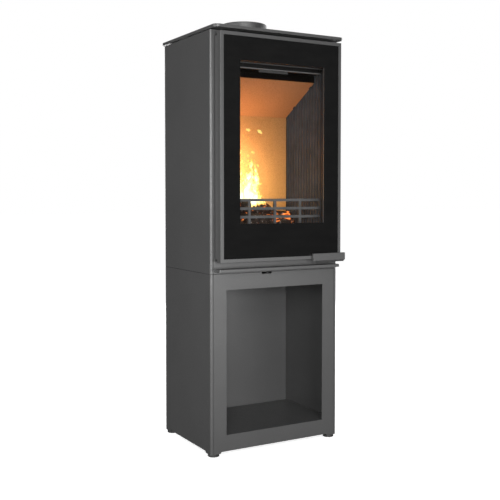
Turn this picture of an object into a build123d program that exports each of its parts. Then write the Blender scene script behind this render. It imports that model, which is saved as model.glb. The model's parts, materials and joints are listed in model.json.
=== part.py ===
from build123d import *
import os

# Free-standing wood burning stove on a log store.
# Millimetres, +Z up, +X to the right, the front faces -Y.
# Origin: on the floor, under the centre of the whole stove.

# ---- driving dimensions ---------------------------------------------------
sheet = 2.5                   # casing sheet
wall = 4                      # firebox plate

casing_width = 460
casing_depth = 330.5
casing_bottom = 13            # casing edge above the floor
seam_height = 554.3           # joint between log store and stove
seam_gap = 1.2
casing_top = 1281.6
return_width = 9.4            # folded edge of the side panels
fold_radius = 4.5
groove = 1                    # between the side panel's fold and the front frame

plate_bottom = 1284.8
plate_thickness = 9.3
plate_side = 2                # overhangs of the top plate
plate_front = 36
plate_rear = 21.5
plate_corner = 17

flue_radius = 75              # 150 mm collar
flue_wall = 5
flue_neck_radius = 76.2       # below the shoulder on which the pipe stops
flue_shoulder = 1296
flue_y = 204.8                # behind the casing front
collar_top = 1350

door_half = 217
door_bottom = 591
door_top = 1274.3
door_front = -41.4
door_rear = -7
door_border = 10.9
glass_thickness = 4
pane_gap = 0.3
window_half = 160             # hole in the door's inner frame
window_bottom = 697
window_top = 1194
door_corner = 11              # rounded rear corners of the door's side

hinge_x = -207
hinge_y = -12
hinge_pin_radius = 4
running_clearance = 0.05
ear_reach = 7.2
upper_ear = (1263.5, 1268.5)
lower_ear = (595, 600)

handle_left = 105
handle_right = 227
handle_low = 586
handle_high = 609
handle_front = -53
handle_rear = -44.5
spindle_x = 210.3
spindle_z = 597.6
spindle_radius = 3.5
spindle_end_radius = 2.5
tongue_angle = 160            # from +X, at rest
tongue_reach = 15
tongue_half = 3.8
keeper_left = 192
keeper_right = 201

chamber_half = 172.5          # mouth of the firebox
mouth_bottom = 613
mouth_top = 1192
shell_half = 190
shell_floor = 603
shell_top = 1263
shell_rear = 240
smoke_rear = 288
step_height = 1045
hearth_low = 645
hearth_high = 655
lining_face = 172
lining_rear = 236
rear_lining_face = 214
lining_top = 1180
first_rib = 12
rib_pitch = 16
rib_width = 8
rib_height = 4
baffle_rear_low = 1056        # underside of the baffle at the rear lining
baffle_front_low = 1155       # underside of the baffle at its front edge
baffle_front_y = 43
baffle_thickness = 22

guard_y = (5, 12)
guard_rail = 8
guard_pitch = 26
guard_top = 781
guard_bar_pitch = 92.5

ledge_half = 217.5
ledge_low = 562
ledge_high = 571
ledge_reach = 37
ledge_corner = 5

store_half = 175.8            # mouth of the log store
store_bottom = 62.7
store_top = 505.3
store_floor = 59
store_rear = 301
tab_length = 38               # lower edge tabs at the casing's corners
tab_drop = 5

notch_left = -52
notch_right = -16
notch_low = 548.5
lever_width = 10
lever_low = 549.5
lever_high = 553.5
lever_y = (36, 44)
shutter_half = 46
shutter_z = (597, 599.5)
slot_width = 20
slot_pitch = 44

foot_x = 212
foot_y = 16.5
foot_radius = 17.5
foot_height = 7
stud_radius = 5
stud_top = 48

screw_x = 223.6               # rear screws, from the middle
spigot_radius = 50
spigot_wall = 2
spigot_z = 632

# ---- values worked out from them ------------------------------------------
half = casing_width / 2
# the whole stove runs from the handle's front to the top plate's rear edge
casing_front = -(casing_depth + plate_rear + handle_front) / 2
plate_top = plate_bottom + plate_thickness
frame_half = half - return_width - groove
inner_half = half - sheet
foot_places = [(-foot_x, foot_y), (foot_x, foot_y),
               (-foot_x, casing_depth - foot_y), (foot_x, casing_depth - foot_y)]
lever_x = (notch_left + notch_right) / 2


# ---- helpers ----------------------------------------------------------------
# every y given to a helper is measured back from the casing's front face
def slab(x, y, z):
    """A box from its low and high coordinates."""
    size = (x[1] - x[0], y[1] - y[0], z[1] - z[0])
    middle = ((x[0] + x[1]) / 2, (y[0] + y[1]) / 2 + casing_front, (z[0] + z[1]) / 2)
    return Pos(*middle) * Box(*size)


def at(x, y, z):
    """A place in the stove's frame."""
    return Pos(x, y + casing_front, z)


def post(x, y, z, radius):
    """An upright cylinder between two heights."""
    return at(x, y, (z[0] + z[1]) / 2) * Cylinder(radius, z[1] - z[0])


def rod(x, y, z, radius):
    """A cylinder along Y between two depths."""
    length = y[1] - y[0]
    return at(x, (y[0] + y[1]) / 2, z) * Rot(90, 0, 0) * Cylinder(radius, length)


def mirrored(shape):
    """The same piece on the other side of the stove."""
    return mirror(shape, about=Plane.YZ)


def side_profile(points, x):
    """A solid with the given outline in Y and Z, between two X."""
    outline = [(casing_front + y, z) for y, z in points]
    face = Plane.YZ.offset(x[0]) * make_face(Polyline(*outline, close=True))
    return extrude(face, x[1] - x[0], dir=(1, 0, 0))


def front_profile(points, y):
    """A solid with the given outline in X and Z, between two depths."""
    face = make_face(Polyline(*[(x, 0, z) for x, z in points], close=True))
    return Pos(0, casing_front + y[0], 0) * extrude(face, y[1] - y[0], dir=(0, 1, 0))


def upright_edges(shape):
    return shape.edges().filter_by(Axis.Z)


def ring(half_width, low, high, y, thickness):
    """A rectangular loop of material, seen from the front, outside the given hole."""
    reach = half_width + thickness
    outer = slab((-reach, reach), y, (low - thickness, high + thickness))
    return outer - slab((-half_width, half_width), (y[0] - 1, y[1] + 1), (low, high))


# ---- log store ----------------------------------------------------------------
def edge_notch(length):
    """The raised part of a lower edge, between two corner tabs, seen from the front."""
    reach = length / 2 - tab_length
    low = casing_bottom - tab_drop
    slope = tab_drop
    return [(-reach - slope, low - 1), (-reach - slope, low), (-reach, casing_bottom),
            (reach, casing_bottom), (reach + slope, low), (reach + slope, low - 1)]


def side_panel(low, high):
    """Left side sheet, folded in at the front and the rear edge."""
    outer = slab((-half, -half + return_width), (0, casing_depth), (low, high))
    outside = upright_edges(outer).group_by(Axis.X)[0]
    outer = fillet(outside, fold_radius)
    inner = slab((-inner_half, 0), (sheet, casing_depth - sheet), (low - 1, high + 1))
    inner = fillet(upright_edges(inner).group_by(Axis.X)[0], fold_radius - sheet)
    return outer - inner


def base_left_panel():
    panel = side_panel(casing_bottom - tab_drop, seam_height)
    middle = casing_depth / 2
    notch = [(middle + y, z) for y, z in edge_notch(casing_depth)]
    return panel - side_profile(notch, (-half - 1, -half + return_width + 1))


def base_right_panel():
    return mirrored(base_left_panel())


def base_rear_panel():
    """Rear wall of the log store, with edges folded backwards."""
    flange = 15
    side = inner_half - 0.5
    panel = slab((-side, side), (store_rear, store_rear + flange), (36, seam_height - 10))
    behind = (store_rear + sheet, store_rear + flange + 1)
    return panel - slab((-side + sheet, side - sheet), behind, (0, seam_height))


def base_front_frame():
    """Front sheet with the log store's mouth and the notch of the air lever."""
    frame = slab((-frame_half, frame_half), (0, sheet), (casing_bottom - tab_drop, seam_height))
    frame -= slab((-store_half, store_half), (-1, sheet + 1), (store_bottom, store_top))
    frame -= front_profile(edge_notch(casing_width), (-1, sheet + 1))
    notch = slab((notch_left, notch_right), (-1, sheet + 1), (notch_low, seam_height + 3))
    across = notch.edges().filter_by(Axis.Y).group_by(Axis.Z)[0]
    return frame - fillet(across, 2)


def base_floor():
    """Floor sheet of the log store, with its front and rear edges turned down."""
    front = fold_radius
    side = inner_half - 0.5
    floor = slab((-side, side), (front, store_rear), (store_floor - 20, store_floor))
    under = slab((-half, half), (front + sheet, store_rear - sheet), (0, store_floor - sheet))
    return floor - under


def base_floor_rails():
    """Two angles that carry the floor sheet."""
    side = inner_half - 0.5
    rail = slab((-side, -side + 15), (10, store_rear - 10), (store_floor - 18, store_floor - sheet))
    rail -= slab((-side + 2, half), (0, store_rear), (0, store_floor - sheet - 2))
    return Compound([rail, mirrored(rail)])


def base_top_plate():
    """Ceiling of the log store, with holes for the joining bolts."""
    plate = slab((-inner_half + 0.5, inner_half - 0.5), (fold_radius, 300), (545, 548))
    for x, y in joining_places():
        plate -= post(x, y, (540, 550), 5.5)
    return plate


def foot_brackets():
    """Four corner plates with welded nuts, in which the feet turn."""
    brackets = []
    for x, y in foot_places:
        side = 1 if x > 0 else -1
        rear = y > casing_depth / 2
        span_x = sorted((side * (inner_half - 0.5), side * 180))
        span_y = (casing_depth - 50, casing_depth - 5) if rear else (5, 50)
        bracket = slab(span_x, span_y, (20, 24))
        bracket += at(x, y, 24) * extrude(RegularPolygon(10, 6), 8)
        bracket -= post(x, y, (0, 60), stud_radius + running_clearance)
        brackets.append(bracket)
    return Compound(brackets)


def foot(x, y):
    """Levelling foot: a rounded pad on a threaded stud."""
    pad = post(x, y, (0, foot_height), foot_radius)
    pad = fillet(pad.edges().group_by(Axis.Z)[-1], 3)
    pad = fillet(pad.edges().group_by(Axis.Z)[0], 1)
    return pad + post(x, y, (foot_height - 1, stud_top), stud_radius)


def joining_places():
    return [(x, y) for x in (-205, 205) for y in (40, 275)]


def joining_spacers():
    """Tubes that carry the stove on the log store."""
    spacers = []
    for x, y in joining_places():
        spacers.append(post(x, y, (548, 556), 11) - post(x, y, (540, 560), 5.5))
    return Compound(spacers)


def joining_bolts():
    """Hexagon bolts through the log store's ceiling into the stove's base."""
    bolts = []
    for x, y in joining_places():
        head = at(x, y, 539) * extrude(RegularPolygon(8, 6), 6)
        bolts.append(head + post(x, y, (544, 568), 5))
    return Compound(bolts)


# ---- casing of the stove --------------------------------------------------------
def body_base_plate():
    """Bottom plate, with the slot in which the air lever's post travels."""
    plate = slab((-inner_half + 0.5, inner_half - 0.5), (wall + 0.5, 325), (556, 560))
    plate -= slab((notch_left, notch_right), (lever_y[0] - 1, lever_y[1] + 1), (550, 570))
    for x, y in joining_places():
        plate -= post(x, y, (550, 570), 5)
    return plate


def body_left_panel():
    panel = side_panel(seam_height + seam_gap, casing_top)
    for x, z in screw_places():
        panel -= rod(x, (casing_depth - 4, casing_depth + 1), z, 2)
    return panel


def body_right_panel():
    return mirrored(body_left_panel())


def body_rear_panel():
    """Rear heat shield with two rows of convection slots and the air inlet's hole."""
    side = inner_half - fold_radius + sheet
    depth = (casing_depth - 2 * sheet - 0.5, casing_depth - sheet - 0.5)
    panel = slab((-side, side), depth, (seam_height + seam_gap + 5, casing_top - 4))
    slots = 15
    for z in (760, 1180):
        for index in range(slots):
            x = (index - (slots - 1) / 2) * 24
            slot = slab((x - 3, x + 3), (depth[0] - 1, depth[1] + 1), (z, z + 46))
            panel -= fillet(slot.edges().filter_by(Axis.Y), 2.9)
    panel -= rod(0, (depth[0] - 1, depth[1] + 1), spigot_z, spigot_radius + 0.5)
    for x, z in screw_places():
        panel -= rod(x, (depth[0] - 1, depth[1] + 1), z, 2)
    return panel


def screw_places():
    return [(x, z) for x in (-screw_x, screw_x) for z in (600, 820, 1040, 1250)]


def casing_screws():
    """Button head screws that hold the rear heat shield to the side panels."""
    screws = []
    for x, z in screw_places():
        head = rod(x, (casing_depth, casing_depth + 2), z, 3.2)
        head = fillet(head.edges().group_by(Axis.Y)[-1], 1)
        screws.append(head + rod(x, (casing_depth - 12, casing_depth + 0.5), z, 1.95))
    return Compound(screws)


def body_front_frame():
    """Front plate of the stove, with the mouth of the firebox."""
    plate = slab((-frame_half, frame_half), (0, wall), (seam_height + seam_gap, casing_top))
    mouth = slab((-chamber_half, chamber_half), (-1, wall + 1), (mouth_bottom, mouth_top))
    return plate - fillet(mouth.edges().filter_by(Axis.Y), 4)


def top_plate():
    """Cover plate with rounded corners and the hole for the flue collar."""
    plate = slab((-half - plate_side, half + plate_side),
                 (-plate_front, casing_depth + plate_rear), (plate_bottom, plate_top))
    plate = fillet(upright_edges(plate), plate_corner)
    plate -= post(0, flue_y, (plate_bottom - 1, plate_top + 1), flue_neck_radius + 1.5)
    rim = plate.faces().sort_by(Axis.Z)[-1].outer_wire().edges()
    plate = fillet(rim, 1.2)
    rim = plate.faces().sort_by(Axis.Z)[0].outer_wire().edges()
    return fillet(rim, 1.2)


def top_plate_spacers():
    """Small blocks that hold the cover plate clear of the firebox."""
    blocks = []
    for x in (-200, 200):
        for y in (12, 300):
            blocks.append(slab((x - 10, x + 10), (y, y + 20), (shell_top + wall, plate_bottom)))
    return Compound(blocks)


def collar_bolt_places():
    radius = flue_radius + 11
    spots = PolarLocations(radius, 4, start_angle=45)
    return [(place.position.X, place.position.Y + flue_y) for place in spots.locations]


def flue_collar():
    """Cast collar for a 150 mm flue pipe, with its bolting flange."""
    collar = post(0, flue_y, (shell_top + wall, shell_top + wall + 6), flue_radius + 20)
    collar += post(0, flue_y, (shell_top + wall, flue_shoulder), flue_neck_radius)
    collar += post(0, flue_y, (shell_top + wall, collar_top), flue_radius)
    collar = fillet(collar.edges().group_by(Axis.Z)[-1], 2.2)
    collar -= post(0, flue_y, (shell_top, collar_top + 1), flue_radius - flue_wall)
    for x, y in collar_bolt_places():
        collar -= post(x, y, (1260, 1290), 3.5)
    return collar


def collar_bolts():
    """Screws that hold the collar to the firebox top."""
    bolts = []
    flange_top = shell_top + wall + 6
    for x, y in collar_bolt_places():
        head = at(x, y, flange_top) * extrude(RegularPolygon(5.5, 6), 4.5)
        bolts.append(head + post(x, y, (shell_top - 6, flange_top + 1), 3.5))
    return Compound(bolts)


def ledge():
    """Narrow shelf under the door."""
    shelf = slab((-ledge_half, ledge_half), (-ledge_reach, 0), (ledge_low, ledge_high))
    front = upright_edges(shelf).group_by(Axis.Y)[0]
    shelf = fillet(front, ledge_corner)
    rims = shelf.edges().filter_by(lambda edge: edge.center().Y < casing_front - 1)
    return fillet(rims.filter_by(Axis.Z, reverse=True), 1)


# ---- firebox ------------------------------------------------------------------
def air_slots(z):
    """Two openings that the air shutter covers and uncovers."""
    cutters = None
    for side in (-1, 1):
        x = lever_x + side * slot_pitch / 2
        cutter = slab((x - slot_width / 2, x + slot_width / 2), (52, 92), z)
        cutters = cutter if cutters is None else cutters + cutter
    return cutters


def firebox_floor():
    """Bottom of the firebox with two runners for the ash pan."""
    floor = slab((-shell_half, shell_half), (wall, shell_rear), (shell_floor, shell_floor + wall))
    for x in (-120, 120):
        floor += slab((x - 4, x + 4), (12, 225), (shell_floor + wall, mouth_bottom + 1))
    return floor - air_slots((shell_floor - 1, shell_floor + wall + 1))


def firebox_left_wall():
    """Side plate, deeper above the step than below it."""
    outline = [(wall, shell_floor), (shell_rear + wall, shell_floor), (shell_rear + wall, step_height),
               (smoke_rear + wall, step_height), (smoke_rear + wall, shell_top), (wall, shell_top)]
    return side_profile(outline, (-shell_half - wall, -shell_half))


def firebox_right_wall():
    return mirrored(firebox_left_wall())


def firebox_rear_wall():
    return slab((-shell_half, shell_half), (shell_rear, shell_rear + wall), (shell_floor, step_height))


def firebox_step():
    """Shelf between the rear wall and the smoke chamber's rear wall."""
    span = (-shell_half, shell_half)
    return slab(span, (shell_rear, smoke_rear + wall), (step_height, step_height + wall))


def smoke_chamber_rear():
    span = (-shell_half, shell_half)
    return slab(span, (smoke_rear, smoke_rear + wall), (step_height + wall, shell_top))


def firebox_top():
    """Top plate of the smoke chamber, with the hole under the collar."""
    span = shell_half + wall
    plate = slab((-span, span), (wall, smoke_rear + wall), (shell_top, shell_top + wall))
    plate -= post(0, flue_y, (shell_top - 1, shell_top + wall + 1), flue_radius - flue_wall + 2)
    for x, y in collar_bolt_places():
        plate -= post(x, y, (1260, 1290), 3.5)
    return plate


def hearth_rails():
    """Angles on the side walls under the hearth."""
    rail = slab((-shell_half, -shell_half + 12), (10, shell_rear - 4), (hearth_low - 14, hearth_low))
    rail -= slab((-shell_half + 3, 0), (0, 300), (0, hearth_low - 3))
    return Compound([rail, mirrored(rail)])


def hearth_plate():
    """Cast floor of the fire chamber, with the stepped hole for the grate."""
    side = shell_half - 1.5
    plate = slab((-side, side), (wall + 0.5, shell_rear - 1), (hearth_low, hearth_high))
    plate -= slab((-92, 92), (48, 192), (hearth_low - 1, hearth_high + 1))
    return plate - slab((-100.5, 100.5), (39.5, 200.5), (hearth_high - 6, hearth_high + 1))


def grate():
    """Loose cast grate with slots running front to back."""
    plate = slab((-100, 100), (40, 200), (hearth_high - 6, hearth_high))
    for index in range(11):
        x = (index - 5) * 16
        slot = slab((x - 4, x + 4), (54, 186), (hearth_high - 7, hearth_high + 1))
        plate -= fillet(upright_edges(slot), 3.9)
    return plate


def ash_pan():
    """Open tray under the grate, with a finger lip at its front."""
    low = mouth_bottom + 1
    high = hearth_low - 4
    thin = 1.5
    tray = slab((-150, 150), (12, 228), (low, high))
    tray = fillet(upright_edges(tray), 6)
    hollow = slab((-150 + thin, 150 - thin), (12 + thin, 228 - thin), (low + thin, high + 1))
    tray -= fillet(upright_edges(hollow), 6 - thin)
    return tray + slab((-40, 40), (6, 12.5), (high - 8, high - 8 + thin))


def left_lining():
    """Cast side lining with upright ribs."""
    back = shell_half - 1.5
    lining = slab((-back, -lining_face - rib_height), (8, lining_rear), (hearth_high, lining_top))
    count = int((lining_rear - 8) / rib_pitch)
    for index in range(count):
        y = first_rib + index * rib_pitch
        lining += slab((-back + 2, -lining_face), (y, y + rib_width), (hearth_high, lining_top))
    return lining


def right_lining():
    return mirrored(left_lining())


def rear_lining():
    """Insulating board behind the fire."""
    span = lining_face - 0.5
    return slab((-span, span), (rear_lining_face, shell_rear - 2), (hearth_high, baffle_rear_low))


def baffle():
    """Insulating board that leans up to the front, resting on the rear lining."""
    rear = rear_lining_face
    low = baffle_rear_low
    front_low = baffle_front_low
    outline = [(rear + 20, low), (rear, low),
               (baffle_front_y, front_low), (baffle_front_y, front_low + baffle_thickness),
               (rear, low + baffle_thickness), (rear + 20, low + baffle_thickness)]
    return side_profile(outline, (-lining_face + 1, lining_face - 1))


def baffle_supports():
    """Lugs on the side linings, under the baffle's edges."""
    slope = (baffle_front_low - baffle_rear_low) / (rear_lining_face - baffle_front_y)
    lugs = []
    for rib in (3, 9):
        y = first_rib + rib * rib_pitch
        near = baffle_rear_low + slope * (rear_lining_face - y)
        far = near - slope * rib_width
        lugs.append([(y, near), (y + rib_width, far), (y + rib_width, far - 3), (y, near - 3)])
    pieces = []
    for outline in lugs:
        lug = side_profile(outline, (-lining_face, -lining_face + 5))
        pieces += [lug, mirrored(lug)]
    return Compound(pieces)


def air_wash_channel():
    """Folded channel that turns air down over the glass, with a small stay under it."""
    span = lining_face - 1
    channel = slab((-span, span), (6, 20), (1178, 1230))
    channel -= slab((-span - 1, span + 1), (wall, 18), (1181, 1228))
    channel += slab((-span, span), (wall, 8), (1228, 1230))
    return channel + slab((-53, 53), (17, 19), (1171, 1179))


def log_guard():
    """Cast grille of flat bars that keeps logs off the glass."""
    span = lining_face - 1
    guard = slab((-span, span), guard_y, (guard_top - guard_rail, guard_top))
    rail = 1
    while guard_top - rail * guard_pitch - guard_rail > hearth_high:
        high = guard_top - rail * guard_pitch
        guard += slab((-span, span), guard_y, (high - guard_rail, high))
        rail += 1
    for x in (-guard_bar_pitch, 0, guard_bar_pitch):
        guard += slab((x - guard_rail / 2, x + guard_rail / 2), guard_y, (hearth_high, guard_top))
    return guard


# ---- combustion air ---------------------------------------------------------------
def air_duct():
    """Duct under the firebox, with guides for the shutter."""
    duct = slab((-95, 95), (20, 246), (560, shell_floor))
    duct -= slab((-93, 93), (22, 247), (559, shell_floor - 2))
    duct -= air_slots((shell_floor - 3, shell_floor + 1))
    for y in (33.5, 96):
        duct += slab((-93, 30), (y, y + 2), (shutter_z[0] - 3, shell_floor - 1.5))
    return duct + slab((-93, 30), (92, 97), (shutter_z[0] - 3, shutter_z[0] - 0.5))


def air_box():
    """Box behind the firebox that joins the inlet to the duct."""
    box = slab((-95, 95), (246, 325), (560, 700))
    box -= slab((-93, 93), (248, 323), (562, 698))
    box -= slab((-93, 93), (240, 250), (562, shell_floor - 2))
    return box - rod(0, (320, 330), spigot_z, spigot_radius)


def air_spigot():
    """Inlet for a 100 mm outside air hose."""
    spigot = rod(0, (318, 350), spigot_z, spigot_radius)
    spigot += rod(0, (casing_depth, casing_depth + 2), spigot_z, spigot_radius + 12)
    return spigot - rod(0, (310, 360), spigot_z, spigot_radius - spigot_wall)


def air_lever():
    """Lever with its thumb tab in the notch and its post in the duct."""
    side = lever_width / 2
    lever = slab((lever_x - side, lever_x + side), (-8, lever_y[1]), (lever_low, lever_high))
    tip = upright_edges(lever).group_by(Axis.Y)[0]
    lever = fillet(tip, 3)
    return lever + slab((lever_x - 4, lever_x + 4), lever_y, (lever_low, shutter_z[0]))


def air_shutter():
    """Sliding plate with two openings like those above it."""
    span = (lever_x - shutter_half, lever_x + shutter_half)
    plate = slab(span, (lever_y[0], 95.5), shutter_z)
    shift = Pos((slot_width + 2) / 2, 0, 0)
    return plate - shift * air_slots((shutter_z[0] - 1, shutter_z[1] + 1))


# ---- door ---------------------------------------------------------------------
def door_frame():
    """Outer frame of the door: a tray whose front border lies flush with the pane."""
    span = (-door_half, door_half)
    frame = slab(span, (door_front, door_rear), (door_bottom, door_top))
    rear = frame.edges().filter_by(Axis.X).group_by(Axis.Y)[-1]
    frame = fillet(rear, door_corner)
    front = frame.faces().sort_by(Axis.Y)[0].edges()
    frame = fillet(front, 0.8)
    inside = door_half - sheet
    behind_pane = (door_front + glass_thickness, 1)
    frame -= slab((-inside, inside), behind_pane, (door_bottom + sheet, door_top - sheet))
    hole = door_half - door_border + pane_gap
    frame -= slab((-hole, hole), (door_front - 1, 0),
                  (door_bottom + door_border - pane_gap, door_top - door_border - pane_gap + 0.5))
    hinge_side = (-door_half - 1, -door_half + sheet + 0.1)
    for low, high in (upper_ear, lower_ear):
        frame -= slab(hinge_side, (hinge_y - ear_reach - 0.8, 1), (low - 1.3, high + 1.3))
    keeper_slot = (keeper_left - 2, keeper_right + 2)
    frame -= slab(keeper_slot, (-27, 1), (door_bottom - 1, door_bottom + sheet + 0.1))
    return frame - rod(spindle_x, (door_front - 1, -30), spindle_z, spindle_radius + running_clearance)


def door_glass():
    """Heat-proof glass pane."""
    side = door_half - door_border
    pane = slab((-side, side), (door_front, door_front + glass_thickness),
                (door_bottom + door_border, door_top - door_border - 0.5))
    return fillet(pane.edges().filter_by(Axis.Y), 1)


def door_inner_frame():
    """Inner plate of the door with the rope's channel, hinge blocks and latch block."""
    side = door_half - sheet - 0.1
    low = door_bottom + sheet + 0.1
    high = door_top - sheet - 0.1
    frame = slab((-side, side), (-32, -29), (low, high))
    frame -= slab((-window_half, window_half), (-33, -28), (window_bottom, window_top))
    frame += ring(chamber_half + 2, mouth_bottom - 2, mouth_top + 2, (-29.5, -10), 2)
    frame += ring(chamber_half + 13, mouth_bottom - 13, mouth_top + 13, (-29.5, -10), 2)
    for z in ((1248, 1261.5), (601.5, 615)):
        block = slab((-side, -200), (-29.5, -5), z)
        frame += block - post(hinge_x, hinge_y, z, hinge_pin_radius)
    frame += slab((203, side), (-29.5, -20), (low, 606))
    return frame - rod(spindle_x, (-40, -15), spindle_z, spindle_radius + running_clearance)


def hinge_pins():
    """The door's two hinge pins."""
    upper = post(hinge_x, hinge_y, (1248, upper_ear[1] + 2), hinge_pin_radius)
    lower = post(hinge_x, hinge_y, (lower_ear[0] - 0.8, 615), hinge_pin_radius)
    return Compound([upper, lower])


def hinge_ears():
    """Two lugs on the front plate, in which the door's pins turn."""
    ears = []
    for low, high in (upper_ear, lower_ear):
        ear = slab((hinge_x - ear_reach, hinge_x + ear_reach), (hinge_y, 0), (low, high))
        ear += post(hinge_x, hinge_y, (low, high), ear_reach)
        ear -= post(hinge_x, hinge_y, (low - 1, high + 1), hinge_pin_radius + running_clearance)
        ears.append(ear)
    return Compound(ears)


def glass_gasket():
    """Flat sealing tape between the pane and the inner plate."""
    between = (door_front + glass_thickness, -32)
    return ring(window_half + 2, window_bottom - 2, window_top + 2, between, 8)


def door_gasket():
    """Heat-proof rope in the inner frame's channel."""
    rope = ring(chamber_half + 4.2, mouth_bottom - 4.2, mouth_top + 4.2, (-13, -0.5), 8.6)
    rear = rope.faces().sort_by(Axis.Y)[-1].edges()
    return fillet(rear, 3)


def glass_clips():
    """Z-shaped clips bonded to the pane and screwed to the inner plate."""
    clips = []
    for side in (-1, 1):
        for z in (760, 940, 1120):
            span = sorted((side * 178, side * 202))
            clip = slab(span, (-37.4, -32), (z - 9, z + 9))
            hollow = sorted((side * 170, side * 190))
            clip -= slab(hollow, (-38, -34), (z - 10, z + 10))
            clips.append(clip)
    return Compound(clips)


# ---- handle and latch ---------------------------------------------------------
def handle():
    """Flat lever with a sloping grip under it, in front of the door's lower right corner."""
    bar = slab((handle_left, handle_right), (handle_front, handle_rear), (handle_low, handle_high))
    bar = fillet(bar.edges().filter_by(Axis.Y), 1.2)
    bar = fillet(bar.faces().sort_by(Axis.Y)[0].edges(), 0.8)
    grip = [(handle_front + 1.5, handle_low + 1), (handle_rear, handle_low + 1),
            (handle_rear, handle_low - 5), (handle_rear - 2, handle_low - 5)]
    bar += side_profile(grip, (handle_left + 14, handle_right - 2))
    bar += rod(spindle_x, (handle_rear - 1, door_front - 0.4), spindle_z, 5.5)
    return bar - rod(spindle_x, (handle_front + 3, -35), spindle_z, spindle_radius)


def latch_spindle():
    """Stepped spindle through the door's corner."""
    spindle = rod(spindle_x, (handle_front + 3, -19), spindle_z, spindle_radius)
    return spindle + rod(spindle_x, (-19.5, -11), spindle_z, spindle_end_radius)


def latch_tongue():
    """Tongue that turns behind the keeper as the handle is pressed down."""
    depth = (-18, -13)
    arm = slab((0, tongue_reach), depth, (-tongue_half, tongue_half))
    arm += rod(0, depth, 0, tongue_half) + rod(tongue_reach, depth, 0, tongue_half)
    arm -= rod(0, (-19, -12), 0, spindle_end_radius)
    return Pos(spindle_x, 0, spindle_z) * Rot(0, -tongue_angle, 0) * arm


def latch_keeper():
    """Bracket on the front plate with the lip that holds the tongue."""
    span = (keeper_left, keeper_right)
    bracket = slab(span, (-24, 0), (589, 592.5))
    bracket += slab(span, (-3, 0), (576, 592.5))
    lip = [(keeper_left, 590), (keeper_right, 590), (keeper_right, 596.1), (keeper_left, 599.4)]
    return bracket + front_profile(lip, (-24, -20.5))


# ---- the parts -----------------------------------------------------------------
pieces = {
    "base_left_panel": base_left_panel(),
    "base_right_panel": base_right_panel(),
    "base_rear_panel": base_rear_panel(),
    "base_front_frame": base_front_frame(),
    "base_floor": base_floor(),
    "base_floor_rails": base_floor_rails(),
    "base_top_plate": base_top_plate(),
    "foot_brackets": foot_brackets(),
    "foot_front_left": foot(*foot_places[0]),
    "foot_front_right": foot(*foot_places[1]),
    "foot_rear_left": foot(*foot_places[2]),
    "foot_rear_right": foot(*foot_places[3]),
    "joining_spacers": joining_spacers(),
    "joining_bolts": joining_bolts(),
    "body_base_plate": body_base_plate(),
    "body_left_panel": body_left_panel(),
    "body_right_panel": body_right_panel(),
    "body_rear_panel": body_rear_panel(),
    "body_front_frame": body_front_frame(),
    "casing_screws": casing_screws(),
    "top_plate": top_plate(),
    "top_plate_spacers": top_plate_spacers(),
    "flue_collar": flue_collar(),
    "collar_bolts": collar_bolts(),
    "ledge": ledge(),
    "firebox_floor": firebox_floor(),
    "firebox_left_wall": firebox_left_wall(),
    "firebox_right_wall": firebox_right_wall(),
    "firebox_rear_wall": firebox_rear_wall(),
    "firebox_step": firebox_step(),
    "smoke_chamber_rear": smoke_chamber_rear(),
    "firebox_top": firebox_top(),
    "hearth_rails": hearth_rails(),
    "hearth_plate": hearth_plate(),
    "grate": grate(),
    "ash_pan": ash_pan(),
    "left_lining": left_lining(),
    "right_lining": right_lining(),
    "rear_lining": rear_lining(),
    "baffle": baffle(),
    "baffle_supports": baffle_supports(),
    "air_wash_channel": air_wash_channel(),
    "log_guard": log_guard(),
    "air_duct": air_duct(),
    "air_box": air_box(),
    "air_spigot": air_spigot(),
    "air_lever": air_lever(),
    "air_shutter": air_shutter(),
    "door_frame": door_frame(),
    "door_glass": door_glass(),
    "door_inner_frame": door_inner_frame(),
    "hinge_pins": hinge_pins(),
    "hinge_ears": hinge_ears(),
    "glass_gasket": glass_gasket(),
    "door_gasket": door_gasket(),
    "glass_clips": glass_clips(),
    "handle": handle(),
    "latch_spindle": latch_spindle(),
    "latch_tongue": latch_tongue(),
    "latch_keeper": latch_keeper(),
}

os.makedirs("parts", exist_ok=True)
for name, shape in pieces.items():
    export_step(shape, f"parts/{name}.step")
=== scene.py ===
import json
import math
import random

import bmesh
import bpy
from mathutils import Matrix, Vector, noise


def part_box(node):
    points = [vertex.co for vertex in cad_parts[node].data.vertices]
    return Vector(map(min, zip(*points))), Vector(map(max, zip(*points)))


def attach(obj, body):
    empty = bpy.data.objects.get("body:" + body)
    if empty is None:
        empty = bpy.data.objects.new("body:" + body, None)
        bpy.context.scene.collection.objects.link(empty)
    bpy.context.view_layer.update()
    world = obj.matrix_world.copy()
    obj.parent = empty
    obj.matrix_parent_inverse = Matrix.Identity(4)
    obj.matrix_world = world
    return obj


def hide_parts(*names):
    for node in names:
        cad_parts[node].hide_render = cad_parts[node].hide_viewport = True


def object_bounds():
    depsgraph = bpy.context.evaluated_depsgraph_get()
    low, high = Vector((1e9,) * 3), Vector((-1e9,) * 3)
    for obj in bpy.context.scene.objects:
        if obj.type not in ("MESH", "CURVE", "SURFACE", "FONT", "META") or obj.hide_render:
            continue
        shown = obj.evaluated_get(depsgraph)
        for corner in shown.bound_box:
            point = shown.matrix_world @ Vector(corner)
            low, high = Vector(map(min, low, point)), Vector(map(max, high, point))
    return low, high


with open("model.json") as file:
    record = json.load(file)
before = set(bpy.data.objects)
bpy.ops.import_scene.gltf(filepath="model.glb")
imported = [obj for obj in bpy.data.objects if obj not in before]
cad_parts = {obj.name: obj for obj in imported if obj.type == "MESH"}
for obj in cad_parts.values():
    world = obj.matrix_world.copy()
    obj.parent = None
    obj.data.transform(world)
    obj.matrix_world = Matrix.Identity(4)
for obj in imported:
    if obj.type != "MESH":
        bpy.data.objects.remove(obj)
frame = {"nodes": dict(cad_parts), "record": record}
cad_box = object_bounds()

scene = bpy.context.scene
nodes_of = frame["nodes"]
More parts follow.
